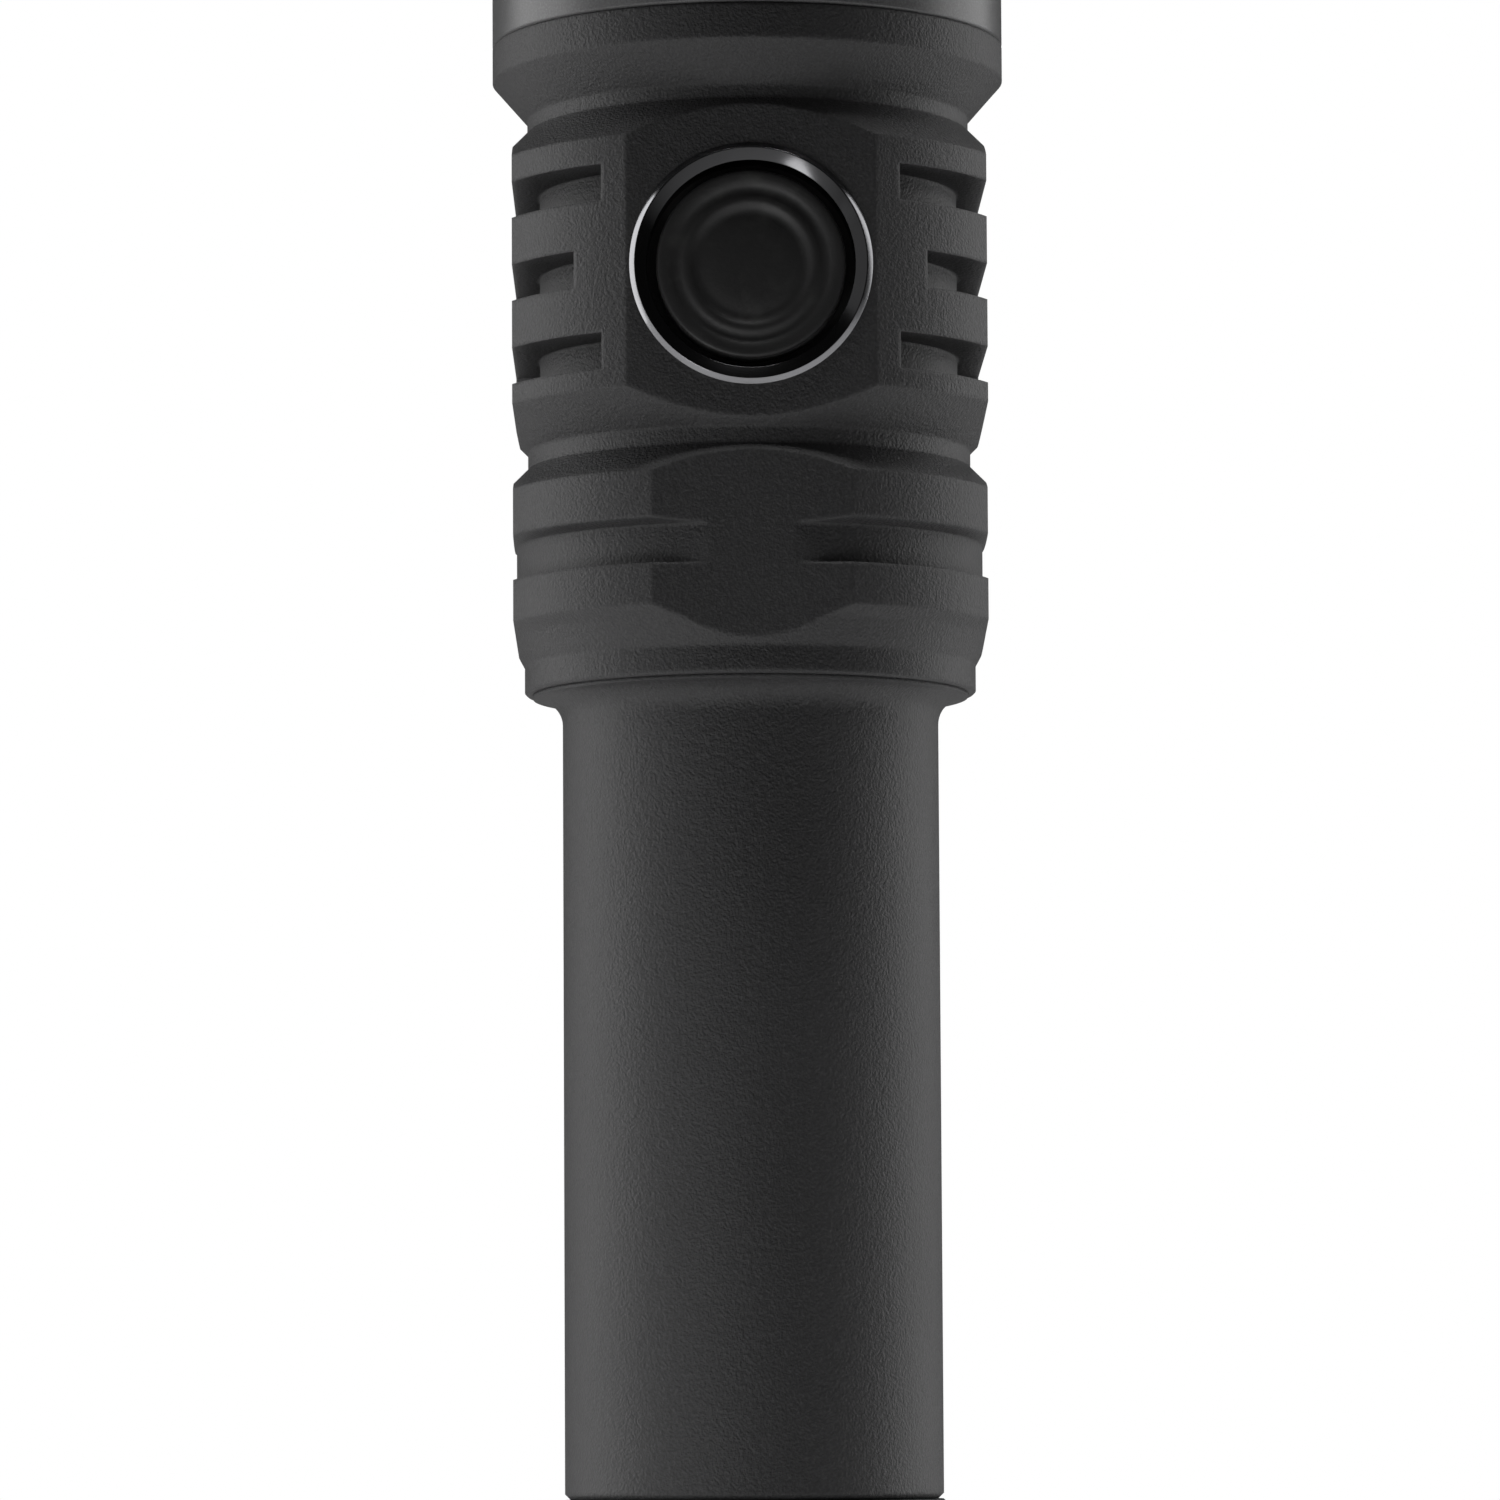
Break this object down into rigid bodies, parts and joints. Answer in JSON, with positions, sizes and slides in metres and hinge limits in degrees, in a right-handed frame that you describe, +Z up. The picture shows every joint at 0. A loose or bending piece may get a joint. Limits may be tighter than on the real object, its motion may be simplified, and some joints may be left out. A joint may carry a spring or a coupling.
{
  "type": "tactical flashlight",
  "caption": "Flashlight standing on its tail: flared head with glass lens, waisted body with cooling slots and flats, round side switch, plain battery tube and screw-on tail cap.",
  "frame": {"origin": "middle of the flat base of the tail cap, which the flashlight stands on", "axes": "+Z up the axis towards the light, the side switch faces -Y"},
  "size_m": [0.0406, 0.0406, 0.143],
  "materials": {
    "body_anodising": "blasted matte black anodising",
    "head_anodising": "satin black anodising",
    "bezel_finish": "satin black anodising, edges slightly worn",
    "switch_metal": "polished black metal with a bright chamfer",
    "boot_rubber": "matte black silicone rubber",
    "seal_rubber": "matte black rubber",
    "lens_glass": "coated clear glass",
    "reflector_mirror": "mirror coated",
    "white_plastic": "matte white plastic",
    "emitter_yellow": "yellow phosphor on a white package",
    "dome_silicone": "clear silicone",
    "board_copper": "copper core board with white mask",
    "screw_steel": "nickel plated",
    "circuit_board": "green solder mask",
    "black_component": "moulded black plastic",
    "contact_gold": "gold plated",
    "contact_brass": "machined brass",
    "red_insulation": "red silicone insulation",
    "black_insulation": "black silicone insulation",
    "cell_can": "nickel plated can",
    "cell_wrap": "plain blue-grey shrink wrap"
  },
  "bodies": {
    "head": {"lower_head": "body_anodising", "battery_tube": "body_anodising", "upper_head": "head_anodising", "bezel_ring": "bezel_finish", "lens": "lens_glass", "lens_o_ring": "seal_rubber", "reflector": "reflector_mirror", "centering_ring": "white_plastic", "led_emitter": "emitter_yellow", "led_dome": "dome_silicone", "led_board": "board_copper", "led_board_screws": "screw_steel", "head_o_ring": "seal_rubber", "driver_board": "circuit_board", "driver_components": "black_component", "driver_spring": "contact_gold", "driver_contact_pad": "contact_brass", "driver_retaining_ring": "contact_brass", "wire_red": "red_insulation", "wire_black": "black_insulation", "switch_bezel": "switch_metal", "switch_board": "circuit_board", "tact_switch": "screw_steel", "switch_spacer": "black_component", "switch_wires": "black_insulation", "rear_o_ring": "seal_rubber", "front_o_ring": "seal_rubber"},
    "button": {"switch_boot": "boot_rubber", "button_insert": "black_component", "switch_plunger": "black_component"},
    "tail_contact": {"tail_contact_board": "circuit_board", "tail_spring": "contact_gold", "tail_retaining_ring": "contact_brass"},
    "tail": {"tailcap": "body_anodising"},
    "cell": {"battery_can": "cell_can", "battery_wrap": "cell_wrap", "battery_insulator": "white_plastic", "battery_positive_cap": "cell_can"}
  },
  "joints": [
    {"name": "button_press", "type": "slide", "parent": "head", "child": "button", "axis": [0, 1, 0], "range_m": [0, 0.0004], "stiffness_N_per_m": 2500, "springref_m": -0.0004},
    {"name": "tail_pull", "type": "slide", "parent": "head", "child": "tail_contact", "axis": [0, 0, -1], "range_m": [0, 0.092]},
    {"name": "tail_twist", "type": "hinge", "parent": "tail_contact", "child": "tail", "pos_m": [0, 0, 0.01], "axis": [0, 0, -1], "range_deg": [0, 90]},
    {"name": "cell_out", "type": "slide", "parent": "head", "child": "cell", "axis": [0, 0, -1], "range_m": [0, 0.0736]}
  ],
  "couplings": [
    {"joint": "cell_out", "follows": "tail_pull", "ratio": 0.8}
  ]
}
